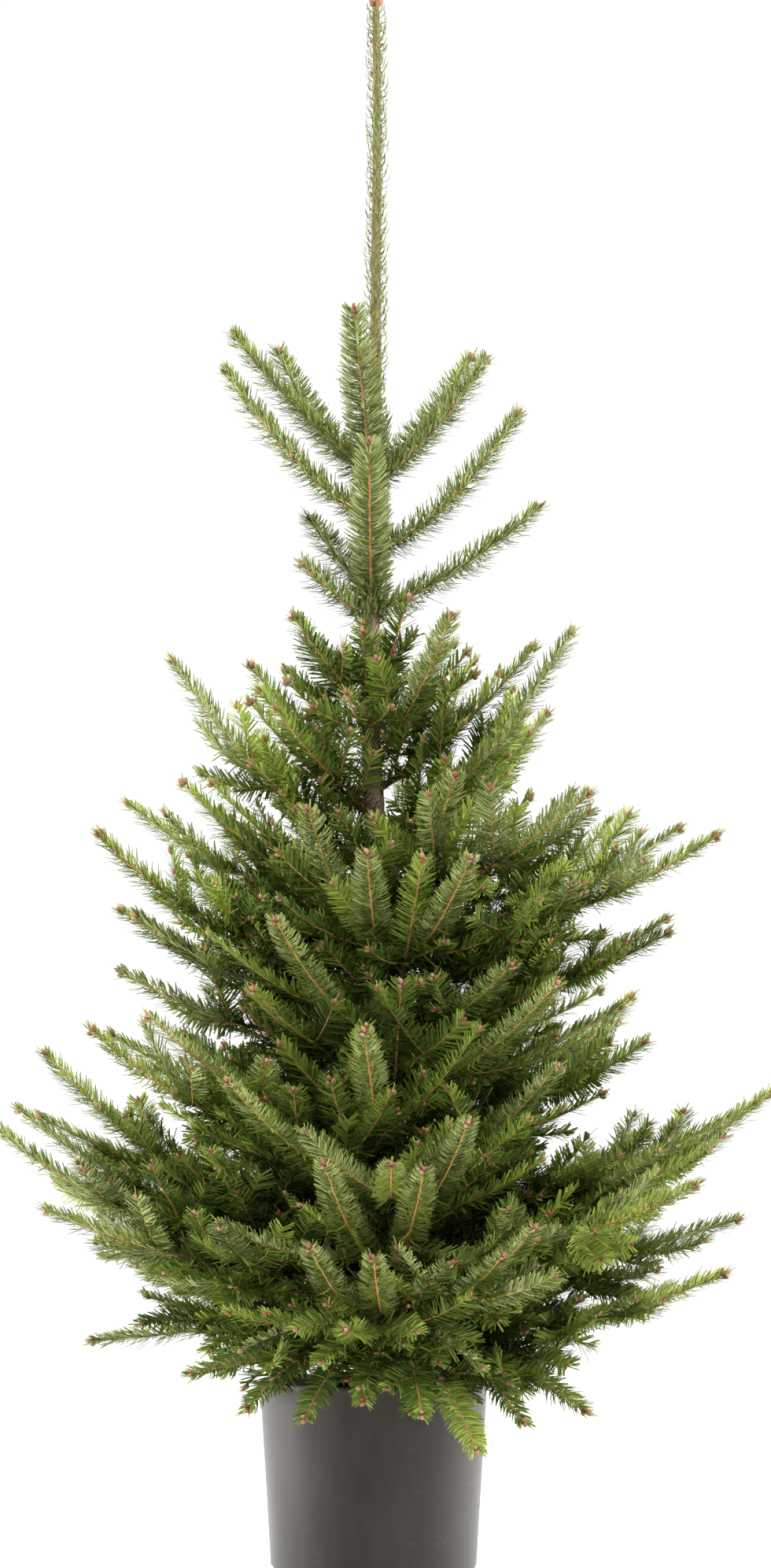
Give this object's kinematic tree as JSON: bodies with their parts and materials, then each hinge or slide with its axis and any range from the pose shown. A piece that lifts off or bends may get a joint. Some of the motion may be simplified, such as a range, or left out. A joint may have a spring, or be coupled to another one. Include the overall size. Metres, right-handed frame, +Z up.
{
  "type": "potted veitch fir",
  "caption": "Young veitch fir standing in a round tapered nursery pot filled with compost, with a bare leader, tiers of flat needled boughs and a full skirt over the pot's rim.",
  "frame": {"origin": "centre of the pot's flat underside, on the ground", "axes": "+Z is up along the trunk, -Y is the front that faces the viewer, +X is to the viewer's right"},
  "size_m": [0.8851, 0.814, 1.757],
  "materials": {
    "pot": "satin dark brown moulded plastic",
    "compost": "moist dark bark and peat compost",
    "bark": "thin grey-brown bark with fine cracks",
    "needles_young": "fresh yellow-green needles on orange-brown twigs",
    "needles": "dark green needles with pale undersides on brown twigs"
  },
  "bodies": {
    "root": {"pot": "pot", "compost": "compost", "trunk": "bark", "leader_needles": "needles_young", "bough_3c": "bark", "bough_3d": "bark", "bough_4a": "bark", "bough_4b": "bark", "bough_4c": "bark", "bough_5a": "bark", "bough_5b": "bark", "foliage_1a": "needles_young", "foliage_1b": "needles_young", "foliage_1c": "needles_young", "foliage_1d": "needles_young", "foliage_1e": "needles_young", "foliage_1f": "needles_young", "foliage_1g": "needles_young", "foliage_1h": "needles_young", "foliage_1i": "needles_young", "foliage_1j": "needles_young", "foliage_1k": "needles_young", "foliage_2a": "needles_young", "foliage_2b": "needles_young", "foliage_2c": "needles_young", "foliage_2d": "needles_young", "foliage_2e": "needles_young", "foliage_2f": "needles_young", "foliage_3a": "needles", "foliage_3b": "needles", "foliage_3c": "needles", "foliage_3d": "needles", "foliage_3e": "needles", "foliage_3f": "needles", "foliage_3g": "needles", "foliage_3h": "needles", "foliage_3i": "needles", "foliage_3j": "needles", "foliage_3k": "needles", "foliage_4a": "needles", "foliage_4b": "needles", "foliage_4c": "needles", "foliage_4d": "needles", "foliage_4e": "needles", "foliage_4f": "needles", "foliage_4g": "needles", "foliage_4h": "needles", "foliage_4i": "needles", "foliage_4j": "needles", "foliage_5a": "needles", "foliage_5b": "needles", "foliage_5c": "needles", "foliage_5d": "needles", "foliage_5e": "needles", "foliage_5f": "needles", "foliage_5g": "needles", "foliage_5h": "needles", "foliage_5i": "needles", "foliage_5j": "needles", "foliage_5k": "needles"}
  },
  "joints": []
}
